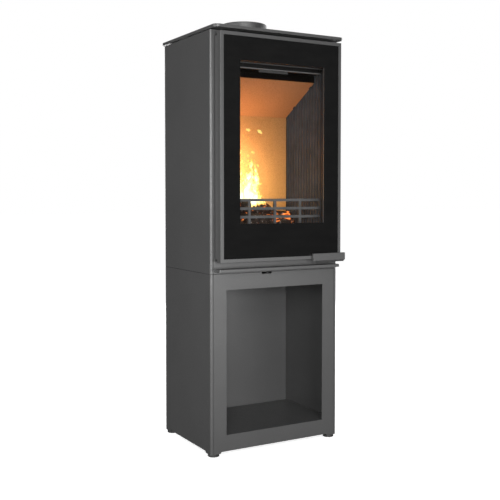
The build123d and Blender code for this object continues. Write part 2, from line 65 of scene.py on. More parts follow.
MM = 0.001


# ---- shader helpers ---------------------------------------------------------
class Shader:
    """A material with one Principled shader and short calls for the nodes that feed it."""

    def __init__(self, name):
        self.material = bpy.data.materials.new(name)
        self.material.use_nodes = True
        self.tree = self.material.node_tree
        self.bsdf = self.tree.nodes["Principled BSDF"]
        self.place = self.tree.nodes.new("ShaderNodeTexCoord").outputs["Object"]

    def add(self, kind, **settings):
        node = self.tree.nodes.new(kind)
        for key, value in settings.items():
            setattr(node, key, value)
        return node

    def link(self, source, target):
        self.tree.links.new(source, target)

    def set(self, **values):
        for key, value in values.items():
            self.bsdf.inputs[key.replace("_", " ")].default_value = value
        return self

    def stretched(self, scale):
        mapping = self.add("ShaderNodeMapping")
        mapping.inputs["Scale"].default_value = scale
        self.link(self.place, mapping.inputs["Vector"])
        return mapping.outputs["Vector"]

    def noise(self, scale, detail=4.0, roughness=0.55, vector=None):
        node = self.add("ShaderNodeTexNoise")
        node.inputs["Scale"].default_value = scale
        node.inputs["Detail"].default_value = detail
        node.inputs["Roughness"].default_value = roughness
        self.link(vector or self.place, node.inputs["Vector"])
        return node.outputs["Fac"]

    def cells(self, scale, feature="F1", vector=None):
        node = self.add("ShaderNodeTexVoronoi", feature=feature)
        node.inputs["Scale"].default_value = scale
        self.link(vector or self.place, node.inputs["Vector"])
        return node.outputs["Distance"]

    def ramp(self, source, stops):
        node = self.add("ShaderNodeValToRGB")
        elements = node.color_ramp.elements
        while len(elements) < len(stops):
            elements.new(0.5)
        for element, (position, colour) in zip(elements, stops):
            element.position = position
            element.color = (*colour, 1) if len(colour) == 3 else colour
        self.link(source, node.inputs["Fac"])
        return node.outputs["Color"]

    def span(self, source, low, high, start=0.0, end=1.0):
        node = self.add("ShaderNodeMapRange")
        for key, value in zip(("From Min", "From Max", "To Min", "To Max"), (start, end, low, high)):
            node.inputs[key].default_value = value
        self.link(source, node.inputs["Value"])
        return node.outputs["Result"]

    def mix(self, share, first, second, blend="MIX"):
        node = self.add("ShaderNodeMix", data_type="RGBA", blend_type=blend)
        self.feed(share, node.inputs[0])
        self.feed(first, node.inputs[6])
        self.feed(second, node.inputs[7])
        return node.outputs[2]

    def sum(self, first, second, operation="ADD"):
        node = self.add("ShaderNodeMath", operation=operation)
        self.feed(first, node.inputs[0])
        self.feed(second, node.inputs[1])
        return node.outputs[0]

    def feed(self, value, socket):
        if isinstance(value, bpy.types.NodeSocket):
            self.link(value, socket)
        elif isinstance(value, tuple) and len(value) == 3:
            socket.default_value = (*value, 1)
        else:
            socket.default_value = value

    def colour(self, source):
        self.link(source, self.bsdf.inputs["Base Color"])
        return self

    def rough(self, source):
        self.link(source, self.bsdf.inputs["Roughness"])
        return self

    def bump(self, source, strength, distance):
        node = self.add("ShaderNodeBump")
        node.inputs["Strength"].default_value = strength
        node.inputs["Distance"].default_value = distance
        self.link(source, node.inputs["Height"])
        self.link(node.outputs["Normal"], self.bsdf.inputs["Normal"])
        return self


def grey(value, warm=0.0):
    return (value * (1 + warm), value, value * (1 - warm))


# ---- materials -----------------------------------------------------------------
coat_metallic = 0.5


def inside_rope(s):
    """One within the door rope's outline and nought outside it."""
    low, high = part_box("door_gasket")
    where = s.add("ShaderNodeSeparateXYZ")
    s.link(s.place, where.inputs[0])
    rope = 12 * MM
    share = s.span(where.outputs["X"], 0, 1, low.x + rope, low.x + rope + MM)
    share = s.sum(share, s.span(where.outputs["X"], 1, 0, high.x - rope - MM, high.x - rope), "MULTIPLY")
    share = s.sum(share, s.span(where.outputs["Z"], 0, 1, low.z + rope, low.z + rope + MM), "MULTIPLY")
    return s.sum(share, s.span(where.outputs["Z"], 1, 0, high.z - rope - MM, high.z - rope), "MULTIPLY")


def powder_coat(name, shade, roughness, grain=1.0, metallic=coat_metallic, darkened_mouth=False):
    """Fine-textured graphite powder coat with faint clouding and speckle."""
    s = Shader(name)
    s.set(Metallic=metallic)
    cloud = s.noise(7, 3)
    speck = s.noise(1500, 2, 0.7)
    base = s.ramp(cloud, [(0.3, grey(shade * 0.96)), (0.7, grey(shade * 1.04))])
    flake = s.ramp(speck, [(0.35, grey(0.78)), (0.6, grey(1.0)), (0.74, grey(1.3))])
    paint = s.mix(0.55, base, s.mix(1.0, base, flake, "MULTIPLY"))
    if darkened_mouth:
        # near-black within the door rope's outline, around the firebox mouth
        paint = s.mix(inside_rope(s), paint, s.ramp(s.noise(40, 4), [(0.3, grey(0.004)), (0.7, grey(0.009))]))
    s.colour(paint)
    s.rough(s.span(s.noise(260, 3), roughness - 0.05, roughness + 0.06, 0.3, 0.7))
    peel = s.sum(s.noise(900, 3), s.span(s.noise(180, 2), 0, 0.6), "ADD")
    return s.bump(peel, 0.22 * grain, 0.0004).material


def sheet_steel(name, shade, roughness, metallic=0.4):
    """Painted or blued inner sheet with rolling marks and soot."""
    s = Shader(name)
    s.set(Metallic=metallic)
    streak = s.noise(60, 4, 0.6, s.stretched((1, 1, 0.08)))
    soot = s.noise(14, 5, 0.65)
    base = s.ramp(streak, [(0.3, grey(shade * 0.8)), (0.7, grey(shade * 1.15))])
    s.colour(s.mix(s.span(soot, 0, 0.5, 0.45, 0.75), base, grey(shade * 0.45)))
    s.rough(s.span(soot, roughness - 0.1, roughness + 0.15, 0.3, 0.7))
    return s.bump(s.noise(420, 3), 0.15, 0.0004).material


def steel_with_painted_hem_highlight(name):
    """Near-black sheet with a painted highlight in a band just above its lower edge, and a dark grey strip at
    that edge.
    """
    s = Shader(name)
    s.set(Metallic=0.1, Specular_IOR_Level=0.2)
    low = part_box("air_wash_channel")[0].z
    height = s.add("ShaderNodeSeparateXYZ")
    s.link(s.place, height.inputs[0])
    # painted highlight: a lighter band 7 to 10 mm above the lower edge, the light a hem would catch
    highlight_band = s.span(height.outputs["Z"], 1, 0, low + 10 * MM, low + 10.6 * MM)
    stay = s.span(height.outputs["Z"], 1, 0, low + 6.5 * MM, low + 7 * MM)
    soot = s.noise(40, 5, 0.65)
    dark = s.ramp(soot, [(0.3, grey(0.003)), (0.7, grey(0.006))])
    edge = s.mix(highlight_band, dark, s.ramp(soot, [(0.3, grey(0.10)), (0.7, grey(0.14))]))
    s.colour(s.mix(stay, edge, grey(0.045)))
    s.rough(s.span(soot, 0.5, 0.7, 0.3, 0.7))
    return s.bump(s.noise(420, 3), 0.15, 0.0004).material


def zinc_plate(name):
    """Zinc-plated steel with brushed streaks and dull patches."""
    s = Shader(name)
    s.set(Metallic=0.9)
    brushed = s.noise(900, 3, 0.5, s.stretched((1, 1, 0.05)))
    patch = s.noise(90, 4)
    base = s.ramp(patch, [(0.3, (0.36, 0.36, 0.37)), (0.7, (0.52, 0.51, 0.49))])
    s.colour(s.mix(0.35, base, s.ramp(brushed, [(0.3, grey(0.3)), (0.7, grey(0.6))])))
    s.rough(s.span(brushed, 0.28, 0.5, 0.3, 0.7))
    return s.bump(brushed, 0.1, 0.0002).material


def cast_iron(name, shade, warm=0.0, roughness=0.62):
    """Sand-cast iron: pitted, with a dull dry film."""
    s = Shader(name)
    s.set(Metallic=0.35)
    sand = s.noise(700, 4, 0.7)
    pit = s.cells(240)
    stain = s.noise(22, 4, 0.6)
    base = s.ramp(stain, [(0.3, grey(shade * 0.8, warm)), (0.7, grey(shade * 1.2, warm))])
    grains = s.ramp(sand, [(0.3, grey(0.6)), (0.7, grey(1.25))])
    s.colour(s.mix(0.5, base, s.mix(1.0, base, grains, "MULTIPLY")))
    s.rough(s.span(sand, roughness - 0.1, roughness + 0.12, 0.3, 0.7))
    return s.bump(s.sum(sand, s.span(pit, 0.4, 0, 0, 0.25), "SUBTRACT"), 0.35, 0.0006).material


def vermiculite(name, dark_front_faces=False):
    """Pressed vermiculite board with golden flakes, and near-black faces turned to the front if asked."""
    s = Shader(name)
    s.set(Roughness=0.9)
    flakes = s.cells(260)
    fine = s.noise(520, 4, 0.7)
    tone = s.noise(9, 3)
    base = s.ramp(flakes, [(0.1, (0.66, 0.50, 0.33)), (0.45, (0.58, 0.45, 0.30)), (0.8, (0.48, 0.37, 0.25))])
    base = s.mix(s.span(tone, 0, 0.35, 0.4, 0.7), base, (0.52, 0.36, 0.22))
    base = s.mix(0.4, base, s.ramp(fine, [(0.3, (0.42, 0.32, 0.22)), (0.7, (0.76, 0.62, 0.44))]))
    if dark_front_faces:
        facing = s.add("ShaderNodeSeparateXYZ")
        s.link(s.add("ShaderNodeTexCoord").outputs["Normal"], facing.inputs[0])
        # near-black on the faces turned to the front
        share = s.sum(s.span(facing.outputs["Y"], 1, 0, -0.95, -0.6), s.span(fine, 0.98, 1.0), "MULTIPLY")
        base = s.mix(share, base, (0.012, 0.011, 0.009))
    s.colour(base)
    s.rough(s.span(fine, 0.82, 0.98, 0.3, 0.7))
    return s.bump(s.sum(flakes, fine, "ADD"), 0.25, 0.0006).material


def rope_fibre(name):
    """Woven glass-fibre rope, graphite grey."""
    s = Shader(name)
    weave = s.add("ShaderNodeTexWave", wave_type="BANDS", bands_direction="DIAGONAL")
    weave.inputs["Scale"].default_value = 260
    weave.inputs["Distortion"].default_value = 1.5
    s.link(s.place, weave.inputs["Vector"])
    fuzz = s.noise(1400, 3)
    s.colour(s.ramp(weave.outputs["Fac"], [(0.2, grey(0.035)), (0.8, grey(0.12))]))
    s.rough(s.span(fuzz, 0.85, 1.0))
    return s.bump(s.sum(weave.outputs["Fac"], s.span(fuzz, 0, 0.5), "ADD"), 0.5, 0.0008).material


def foot_polymer(name, shade=0.035):
    """Dull black polymer, or with a darker shade the near-black painted shadow of the seam strips."""
    s = Shader(name)
    fine = s.noise(1100, 2)
    s.colour(s.ramp(s.noise(60, 3), [(0.3, grey(shade * 0.8)), (0.7, grey(shade * 1.2))]))
    s.rough(s.span(fine, 0.5, 0.65, 0.3, 0.7))
    return s.bump(fine, 0.15, 0.0003).material


def pane_print(name):
    """Black enamel print behind polished glass, with faint wiping haze."""
    s = Shader(name)
    s.set(IOR=1.45, Specular_IOR_Level=0.3)
    haze = s.noise(10, 5, 0.6, s.stretched((1, 1, 3)))
    s.colour(s.ramp(haze, [(0.3, (0.0080, 0.0080, 0.0081)), (0.75, (0.0108, 0.0108, 0.0106))]))
    s.rough(s.span(haze, 0.035, 0.075, 0.3, 0.7))
    return s.bump(s.noise(5, 1), 0.02, 0.0005).material


def pane_edge(name):
    """Ground edge of the print, seen around the clear window."""
    s = Shader(name)
    grain = s.noise(300, 3)
    s.colour(s.ramp(grain, [(0.3, grey(0.07)), (0.7, grey(0.10))]))
    s.rough(s.span(grain, 0.35, 0.5, 0.3, 0.7))
    return s.bump(grain, 0.1, 0.0002).material


def pane_clear(name):
    """Clear ceramic glass with a faint brownish haze."""
    s = Shader(name)
    s.set(IOR=1.45)
    haze = s.noise(16, 5, 0.6)
    s.colour(s.ramp(haze, [(0.3, (0.010, 0.009, 0.008)), (0.8, (0.022, 0.018, 0.015))]))
    s.rough(s.span(haze, 0.02, 0.06, 0.3, 0.7))
    s.link(s.span(haze, 0.10, 0.16, 0.3, 0.75), s.bsdf.inputs["Alpha"])
    s.bump(s.noise(6, 1), 0.02, 0.0005)
    s.material.surface_render_method = "BLENDED"
    return s.material


casing_paint = powder_coat("graphite_powder_coat", 0.12, 0.42)
door_paint = powder_coat("door_powder_coat", 0.12, 0.42, 0.8)
handle_paint = powder_coat("handle_powder_coat", 0.12, 0.45)
collar_paint = powder_coat("collar_powder_coat", 0.105, 0.5, 1.6)
inner_steel = sheet_steel("inner_sheet_steel", 0.05, 0.6)
guard_iron = cast_iron("guard_cast_iron", 0.105, -0.02, 0.5)
slot_materials = {
    "casing_paint": casing_paint,
    "door_paint": door_paint,
    "handle_paint": handle_paint,
    "collar_paint": collar_paint,
    "inner_steel": inner_steel,
    "air_control_steel": sheet_steel("air_control_black", 0.02, 0.5, 0.2),
    "zinc_steel": zinc_plate("zinc_plated_steel"),
    "cast_iron": cast_iron("lining_cast_iron", 0.085, -0.10),
    "insulation_board": vermiculite("vermiculite_board"),
    "pane_glass": pane_print("pane_edge_print"),
    "sealing_rope": rope_fibre("glass_fibre_rope"),
    "foot_polymer": foot_polymer("foot_black_polymer"),
}
own_materials = {
    "ash_pan": sheet_steel("ash_pan_steel", 0.10, 0.5),
    "body_front_frame": powder_coat("front_plate_powder_coat", 0.12, 0.42, darkened_mouth=True),
    "log_guard": guard_iron,
    "air_wash_channel": steel_with_painted_hem_highlight("air_wash_steel"),
    # the door's inner frame is near-black: painted shade around the window
    "door_inner_frame": sheet_steel("door_inner_steel", 0.006, 0.6, 0.05),
    "baffle": vermiculite("vermiculite_baffle", True),
}


def paint_nodes():
    """Gives every CAD node the finish of its slot, or its own."""
    for row in frame["record"]["subparts"]:
        node = nodes_of[row["node"]]
        finish = own_materials.get(row["node"], slot_materials[row["material_slot"]])
        if not node.data.materials:
            node.data.materials.append(finish)
        for index in range(len(node.data.materials)):
            node.data.materials[index] = finish


# ---- mesh helpers ---------------------------------------------------------------
def make_object(name, mesh_builder, materials, smooth=False):
    mesh = bpy.data.meshes.new(name)
    mesh_builder.normal_update()
    mesh_builder.to_mesh(mesh)
    mesh_builder.free()
    for material in materials:
        mesh.materials.append(material)
    if smooth:
        for polygon in mesh.polygons:
            polygon.use_smooth = True
    made = bpy.data.objects.new(name, mesh)
    scene.collection.objects.link(made)
    return made


def sweep_loop(builder, path, section, material=0):
    """Joins a closed path of rings; section(index, count) gives each ring's points."""
    rings = []
    for index in range(len(path)):
        rings.append([builder.verts.new(p) for p in section(index)])
    for index, ring in enumerate(rings):
        following = rings[(index + 1) % len(rings)]
        for k in range(len(ring)):
            quad = (ring[k], ring[(k + 1) % len(ring)], following[(k + 1) % len(ring)], following[k])
            builder.faces.new(quad).material_index = material


# ---- the door's pane ---------------------------------------------------------------
def door_pane():
    """Glass pane with chamfered edges, a printed border and a clear window."""
    low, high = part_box("door_glass")
    window_half = 150.9 * MM
    window_low = low.z + 104 * MM
    window_high = high.z - 70.9 * MM
    chamfer = 0.6 * MM
    xs = [low.x, low.x + chamfer, -window_half, window_half, high.x - chamfer, high.x]
    zs = [low.z, low.z + chamfer, window_low, window_high, high.z - chamfer, high.z]
    builder = bmesh.new()

    def layer(y, inset):
        grid = []
        for i, x in enumerate(xs):
            column = []
            for j, z in enumerate(zs):
                rim = i in (0, len(xs) - 1) or j in (0, len(zs) - 1)
                column.append(builder.verts.new((x, y + (inset if rim else 0), z)))
            grid.append(column)
        return grid

    front = layer(low.y, chamfer)
    back = layer(high.y, -chamfer)
    for i in range(len(xs) - 1):
        for j in range(len(zs) - 1):
            material = 1 if (i, j) == (2, 2) else 0
            quad = [(i, j), (i + 1, j), (i + 1, j + 1), (i, j + 1)]
            builder.faces.new([front[a][b] for a, b in quad]).material_index = material
            if material == 0:
                builder.faces.new([back[a][b] for a, b in reversed(quad)])
    last = len(xs) - 1
    rim = [(i, 0) for i in range(last)] + [(last, j) for j in range(last)]
    rim += [(i, last) for i in range(last, 0, -1)] + [(0, j) for j in range(last, 0, -1)]
    for k, (i, j) in enumerate(rim):
        m, n = rim[(k + 1) % len(rim)]
        builder.faces.new((front[i][j], back[i][j], back[m][n], front[m][n]))
    hole = [(2, 2), (3, 2), (3, 3), (2, 3)]
    for k, (i, j) in enumerate(hole):
        m, n = hole[(k + 1) % 4]
        builder.faces.new((front[i][j], front[m][n], back[m][n], back[i][j])).material_index = 2
    bmesh.ops.recalc_face_normals(builder, faces=builder.faces)
    finishes = [slot_materials["pane_glass"], pane_clear("pane_clear_window"), pane_edge("pane_window_edge")]
    pane = make_object("door_pane", builder, finishes)
    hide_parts("door_glass")
    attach(pane, "door")
    return pane


# ---- ropes ------------------------------------------------------------------------
def rounded_loop(half_x, low_z, high_z, radius, step):
    """Points and outward directions along a rounded rectangle seen from the front."""
    corners = [(half_x - radius, high_z - radius, 0), (-half_x + radius, high_z - radius, 90),
               (-half_x + radius, low_z + radius, 180), (half_x - radius, low_z + radius, 270)]
    points = []
    for index, (cx, cz, start) in enumerate(corners):
        for k in range(7):
            angle = math.radians(start + 90 * k / 6)
            out = Vector((math.cos(angle), 0, math.sin(angle)))
            points.append((Vector((cx, 0, cz)) + out * radius, out))
        nx, nz = corners[(index + 1) % 4][:2]
        angle = math.radians(start + 90)
        out = Vector((math.cos(angle), 0, math.sin(angle)))
        first = Vector((cx, 0, cz)) + out * radius
        last = Vector((nx, 0, nz)) + out * radius
        count = int((last - first).length / step)
        for k in range(1, count):
            points.append((first.lerp(last, k / count), out))
    return points


def door_rope():
    """Braided sealing rope in the door's channel."""
    low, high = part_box("door_gasket")
    thick = 8.2 * MM / 2
    deep = (high.y - low.y) / 2 - 0.2 * MM
    half_x = high.x - thick - 0.3 * MM
    path = rounded_loop(half_x, low.z + thick, high.z - thick, 9 * MM, 2.2 * MM)
    middle = (low.y + high.y) / 2
    around = 16
    builder = bmesh.new()

    def section(index):
        centre, out = path[index]
        ring = []
        for k in range(around):
            turn = 2 * math.pi * k / around
            swell = 1 - 0.055 * (1 + math.sin(4 * turn + index * 1.3) * math.sin(4 * turn - index * 1.3))
            offset = out * (math.cos(turn) * thick * swell)
            ring.append(Vector((centre.x, middle + math.sin(turn) * deep * swell, centre.z)) + offset)
        return ring

    sweep_loop(builder, path, section)
    bmesh.ops.recalc_face_normals(builder, faces=builder.faces)
    rope = make_object("door_rope", builder, [slot_materials["sealing_rope"]], True)
    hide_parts("door_gasket")
    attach(rope, "door")


# ---- rear screws -----------------------------------------------------------------
def rear_screws():
    """Button head screws with hexagon sockets and their shanks."""
    low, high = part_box("casing_screws")
    head_radius = 3.2 * MM
    builder = bmesh.new()
    # distance from the axis in head radii and height in head heights: shank, head, socket
    profile = [(0.0, -6.0), (0.61, -6.0), (0.61, 0.0), (1.0, 0.0), (1.0, 0.28), (0.93, 0.62),
               (0.78, 0.88), (0.6, 1.0), (0.52, 1.0), (0.5, 0.35), (0.0, 0.3)]
    socket = 0.52
    sector = math.pi / 3
    head = 2.0 * MM
    around = 24
    rises = [0, 220, 440, 650]
    for x in (low.x + head_radius, high.x - head_radius):
        for rise in rises:
            centre = Vector((x, high.y - head, low.z + head_radius + rise * MM))
            rings = []
            for reach, lift in profile:
                ring = []
                for k in range(around):
                    turn = 2 * math.pi * k / around
                    radius = head_radius * reach
                    if 0 < reach <= socket:
                        within = (turn + sector / 2) % sector - sector / 2
                        radius *= math.cos(sector / 2) / math.cos(within)
                    spot = Vector((math.cos(turn) * radius, lift * head, math.sin(turn) * radius))
                    ring.append(builder.verts.new(centre + spot))
                rings.append(ring)
            for first, second in zip(rings, rings[1:]):
                for k in range(around):
                    following = (k + 1) % around
                    builder.faces.new((first[k], second[k], second[following], first[following]))
    bmesh.ops.remove_doubles(builder, verts=builder.verts, dist=1e-6)
    bmesh.ops.dissolve_degenerate(builder, dist=1e-6, edges=builder.edges)
    bmesh.ops.recalc_face_normals(builder, faces=builder.faces)
    screws = make_object("rear_screw_heads", builder, [slot_materials["zinc_steel"]])
    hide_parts("casing_screws")
    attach(screws, "stove")


# ---- seam strips with painted shadow ---------------------------------------------
def seam_shadow_strips():
    """Near-black strips that close the side gaps between the log store and the stove, as painted shadow along
    the seam.
    """
    inset = 1.5 * MM
    width = 3 * MM
    skin = 0.02 * MM
    shorter = 10 * MM
    behind = 3 * MM
    builder = bmesh.new()
    for which, side in (("left", -1), ("right", 1)):
        low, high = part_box(f"base_{which}_panel")
        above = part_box(f"body_{which}_panel")[0].z
        outer = (high.x if side > 0 else low.x) - side * inset
        span = Vector((width, high.y - low.y - shorter, above - high.z - 2 * skin))
        middle = (low.y + high.y) / 2 + behind
        centre = Vector((outer - side * width / 2, middle, high.z + skin + span.z / 2))
        place = Matrix.Translation(centre) @ Matrix.Diagonal((*span, 1))
        bmesh.ops.create_cube(builder, size=1, matrix=place)
    # near-black strips: painted shadow in the seam between the log store and the stove
    strips = make_object("seam_shadow_strips", builder, [foot_polymer("seam_painted_shadow", 0.005)])
    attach(strips, "stove")


# ---- the fire, which isn't part of the stove ------------------------------------------
def charred(name, glow, grain):
    """Charred wood with a few glowing cracks and grey ash."""
    s = Shader(name)
    s.set(Roughness=0.9)
    crack = s.cells(grain, "DISTANCE_TO_EDGE", s.stretched((0.35, 1, 1)))
    ember = s.ramp(crack, [(0.0, (1.0, 0.36, 0.06)), (0.035, (0.6, 0.08, 0.01)), (0.08, (0, 0, 0))])
    patch = s.span(s.noise(26, 3), 0, 1, 0.54, 0.64)
    ash = s.ramp(s.noise(70, 5, 0.7), [(0.35, (0.010, 0.008, 0.007)), (0.58, (0.05, 0.03, 0.02)),
                                       (0.66, (0.42, 0.37, 0.33))])
    s.colour(ash)
    s.link(s.mix(patch, (0, 0, 0), ember), s.bsdf.inputs["Emission Color"])
    s.bsdf.inputs["Emission Strength"].default_value = glow
    s.bump(s.noise(120, 5), 0.6, 0.002)
    return s.material


def burning_log(name, centre, length, radius, turn, tilt, seed, material):
    """A split log with an uneven outline and ragged ends."""
    rng = random.Random(seed)
    builder = bmesh.new()
    along = 26
    around = 22
    rings = []
    shift = Vector((rng.random() * 9, rng.random() * 9, rng.random() * 9))
    for i in range(along + 1):
        t = i / along
        ring = []
        for k in range(around):
            angle = 2 * math.pi * k / around
            flat = 1 - 0.28 * max(0, math.cos(angle - 1.1)) ** 2
            ends = 1 - 0.25 * (2 * abs(t - 0.5)) ** 8
            probe = Vector((t * length * 18, math.cos(angle) * 1.2, math.sin(angle) * 1.2)) + shift
            grow = 1 + 0.22 * noise.noise(probe) + 0.08 * noise.noise(probe * 4)
            reach = radius * flat * ends * grow
            ragged = 0.02 * length * noise.noise(probe * 2) if i in (0, along) else 0
            ring.append(builder.verts.new(((t - 0.5) * length + ragged, math.cos(angle) * reach,
                                           math.sin(angle) * reach)))
        rings.append(ring)
    for first, second in zip(rings, rings[1:]):
        for k in range(around):
            following = (k + 1) % around
            builder.faces.new((first[k], second[k], second[following], first[following]))
    for ring in (rings[0], rings[-1]):
        builder.faces.new(ring)
    bmesh.ops.recalc_face_normals(builder, faces=builder.faces)
    log = make_object(name, builder, [material], True)
    turned = Matrix.Rotation(turn, 4, "Z") @ Matrix.Rotation(tilt, 4, "Y")
    log.matrix_world = Matrix.Translation(centre) @ turned


def ember_bed(floor_z, middle, material):
    """Lumps of glowing charcoal spread over the hearth."""
    rng = random.Random(11)
    builder = bmesh.new()
    for _ in range(150):
        spot = Vector((rng.uniform(-0.145, 0.145), middle + rng.uniform(-0.075, 0.085),
                       floor_z + rng.uniform(0, 0.02)))
        size = rng.uniform(0.008, 0.02)
        made = bmesh.ops.create_icosphere(builder, subdivisions=2, radius=size)
        stretch = Vector((rng.uniform(0.8, 1.5), rng.uniform(0.7, 1.2), rng.uniform(0.5, 0.9)))
        for vertex in made["verts"]:
            rough = 1 + 0.35 * noise.noise(vertex.co * 90 + spot * 50)
            vertex.co = Vector(a * b * rough for a, b in zip(vertex.co, stretch)) + spot
    bed = make_object("ember_bed", builder, [material])


def flame_material(name, seed):
    """Tongues that fill the foot of the sheet and thin out to wisps at its top and sides."""
    material = bpy.data.materials.new(name)
    material.use_nodes = True
    tree = material.node_tree
    tree.nodes.clear()

    def add(kind, *sources, **settings):
        node = tree.nodes.new(kind)
        for key, value in settings.items():
            setattr(node, key, value)
        for index, source in enumerate(sources):
            if isinstance(source, bpy.types.NodeSocket):
                tree.links.new(source, node.inputs[index])
            elif source is not None:
                node.inputs[index].default_value = source
        return node

    def ranged(source, start, end, low, high):
        return add("ShaderNodeMapRange", source, start, end, low, high).outputs["Result"]

    def vector(operation, first, second):
        return add("ShaderNodeVectorMath", first, second, operation=operation).outputs[0]

    def math_node(operation, first, second=None):
        return add("ShaderNodeMath", first, second, operation=operation).outputs[0]

    place = add("ShaderNodeTexCoord").outputs["Generated"]
    warp = add("ShaderNodeTexNoise", vector("ADD", place, (seed, 0, -seed)))
    warp.inputs["Scale"].default_value = 5
    bent = vector("MULTIPLY", warp.outputs["Color"], (0.22, 0, 0.12))
    tall = vector("MULTIPLY", vector("ADD", place, bent), (9.5, 1, 7.0))
    tongues = add("ShaderNodeTexNoise", tall)
    tongues.inputs["Scale"].default_value = 1.0
    tongues.inputs["Detail"].default_value = 5
    tongues.inputs["Roughness"].default_value = 0.62
    split = add("ShaderNodeSeparateXYZ", place)
    aside = math_node("ABSOLUTE", math_node("SUBTRACT", split.outputs["X"], 0.5))
    height = split.outputs["Z"]
    rise = math_node("ADD", ranged(height, 0.0, 0.5, 0.17, 0.53), ranged(height, 0.5, 1.0, 0.0, 0.10))
    edge = math_node("ADD", ranged(aside, 0.2, 0.5, 0.0, 0.45), ranged(height, 0.0, 0.1, 0.40, 0.0))
    excess = math_node("SUBTRACT", tongues.outputs["Fac"], math_node("ADD", rise, edge))
    cover = ranged(excess, 0.0, 0.07, 0.0, 1.0)
    ramp = add("ShaderNodeValToRGB", ranged(excess, 0.0, 0.28, 0.0, 1.0))
    stops = [(0.0, (1.0, 0.42, 0.06)), (0.25, (1.0, 0.66, 0.18)),
             (0.6, (1.0, 0.86, 0.42)), (1.0, (1.0, 0.96, 0.74))]
    while len(ramp.color_ramp.elements) < len(stops):
        ramp.color_ramp.elements.new(0.5)
    for element, (position, colour) in zip(ramp.color_ramp.elements, stops):
        element.position = position
        element.color = (*colour, 1)
    glow = add("ShaderNodeEmission", ramp.outputs["Color"], 2.2)
    clear = add("ShaderNodeBsdfTransparent")
    mix = add("ShaderNodeMixShader", cover, clear.outputs[0], glow.outputs[0])
    add("ShaderNodeOutputMaterial", mix.outputs[0])
    return material


def flames(hearth_z, middle):
    """Upright bowed sheets of flame, one behind the other."""
    # place across, distance back, width, height and turn of each sheet
    sheets = [(-0.046, -0.035, 0.17, 0.24, 0.12), (-0.036, -0.010, 0.16, 0.29, 0.08),
              (-0.052, 0.015, 0.18, 0.22, -0.10), (-0.034, 0.035, 0.15, 0.19, 0.05)]
    steps = 12
    foot = 0.092
    for index, (x, back, width, height, turn) in enumerate(sheets):
        builder = bmesh.new()
        rows = []
        for j in range(steps + 1):
            row = []
            for i in range(steps + 1):
                across = i / steps - 0.5
                bow = 0.02 * math.cos(across * 5) + 0.006 * math.sin(j * 0.7)
                row.append(builder.verts.new((across * width, bow, j / steps * height)))
            rows.append(row)
        for first, second in zip(rows, rows[1:]):
            for i in range(steps):
                builder.faces.new((first[i], first[i + 1], second[i + 1], second[i]))
        glow = flame_material(f"flame_glow_{index + 1}", index * 2.7)
        sheet = make_object(f"flame_{index + 1}", builder, [glow], True)
        sheet.location = (x, middle + back, hearth_z + foot)
        sheet.rotation_euler.z = turn
        sheet.visible_shadow = False
        sheet.visible_diffuse = False


def flame_tips(hearth_z, middle):
    """Small torn-off tips that float above the flames."""
    material = bpy.data.materials.new("flame_tip_glow")
    material.use_nodes = True
    tree = material.node_tree
    tree.nodes.clear()
    glow = tree.nodes.new("ShaderNodeEmission")
    glow.inputs["Color"].default_value = (1.0, 0.72, 0.20, 1)
    glow.inputs["Strength"].default_value = 1.3
    output = tree.nodes.new("ShaderNodeOutputMaterial")
    tree.links.new(glow.outputs[0], output.inputs["Surface"])
    # place across, height, half length, half thickness and turn of each tip
    tips = [(-0.040, 0.345, 0.008, 0.004, 0.2), (0.003, 0.341, 0.010, 0.0045, 0.6),
            (-0.023, 0.274, 0.006, 0.004, 0.3), (-0.040, 0.262, 0.005, 0.004, -0.4),
            (-0.004, 0.232, 0.005, 0.003, 0.9)]
    for index, (x, height, length, thick, turn) in enumerate(tips):
        builder = bmesh.new()
        bmesh.ops.create_icosphere(builder, subdivisions=3, radius=1)
        for vertex in builder.verts:
            swell = 1 + 0.25 * math.sin(vertex.co.x * 5 + index * 2)
            vertex.co = Vector((vertex.co.x * length, vertex.co.y * thick, vertex.co.z * thick * swell))
        tip = make_object(f"flame_tip_{index + 1}", builder, [material], True)
        tip.location = (x, middle - 0.016, hearth_z + height)
        tip.rotation_euler.y = turn
        tip.visible_shadow = False
        tip.visible_diffuse = False


def fire():
    """Logs, embers and flames on the hearth, set here to show the stove in use."""
    low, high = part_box("hearth_plate")
    middle = (low.y + high.y) / 2
    ember_bed(high.z, middle, charred("glowing_coal", 3.0, 60))
    # centre, length, radius, turn, tilt and seed of each log
    logs = [((-0.02, middle - 0.035, high.z + 0.052), 0.27, 0.031, 0.10, 0.03, 3),
            ((0.015, middle + 0.045, high.z + 0.055), 0.26, 0.034, -0.14, -0.04, 5),
            ((-0.03, middle + 0.01, high.z + 0.098), 0.23, 0.026, 0.42, 0.10, 8)]
    wood = charred("charred_log", 1.6, 38)
    for index, (centre, length, radius, turn, tilt, seed) in enumerate(logs):
        burning_log(f"burning_log_{index + 1}", Vector(centre), length, radius, turn, tilt, seed, wood)
    flames(high.z, middle)
    flame_tips(high.z, middle)


def point_light(name, place, radius, power, colour):
    """Small round lamp."""
    data = bpy.data.lights.new(name, "POINT")
    data.energy = power
    data.color = colour
    data.shadow_soft_size = radius
    lamp = bpy.data.objects.new(name, data)
    lamp.location = place
    scene.collection.objects.link(lamp)
    return lamp


def area_light(name, place, target, size, power):
    """Soft box turned towards its target."""
    data = bpy.data.lights.new(name, "AREA")
    data.shape = "RECTANGLE"
    data.size, data.size_y = size
    data.energy = power
    lamp = bpy.data.objects.new(name, data)
    lamp.location = place
    lamp.rotation_euler = (Vector(target) - Vector(place)).to_track_quat("-Z", "Y").to_euler()
    scene.collection.objects.link(lamp)
    return lamp


# distance back from the hearth's middle, height above it, radius, power, colour, lit nodes
fire_lights = [
    ("fire_light", -0.03, 0.13, 0.05, 4.6, (1.0, 0.62, 0.22),
     ["rear_lining", "hearth_plate", "grate", "left_lining"]),
    ("fire_light_high", 0.02, 0.24, 0.06, 2.0, (1.0, 0.36, 0.12), ["rear_lining", "baffle"]),
]
fire_across = -0.06


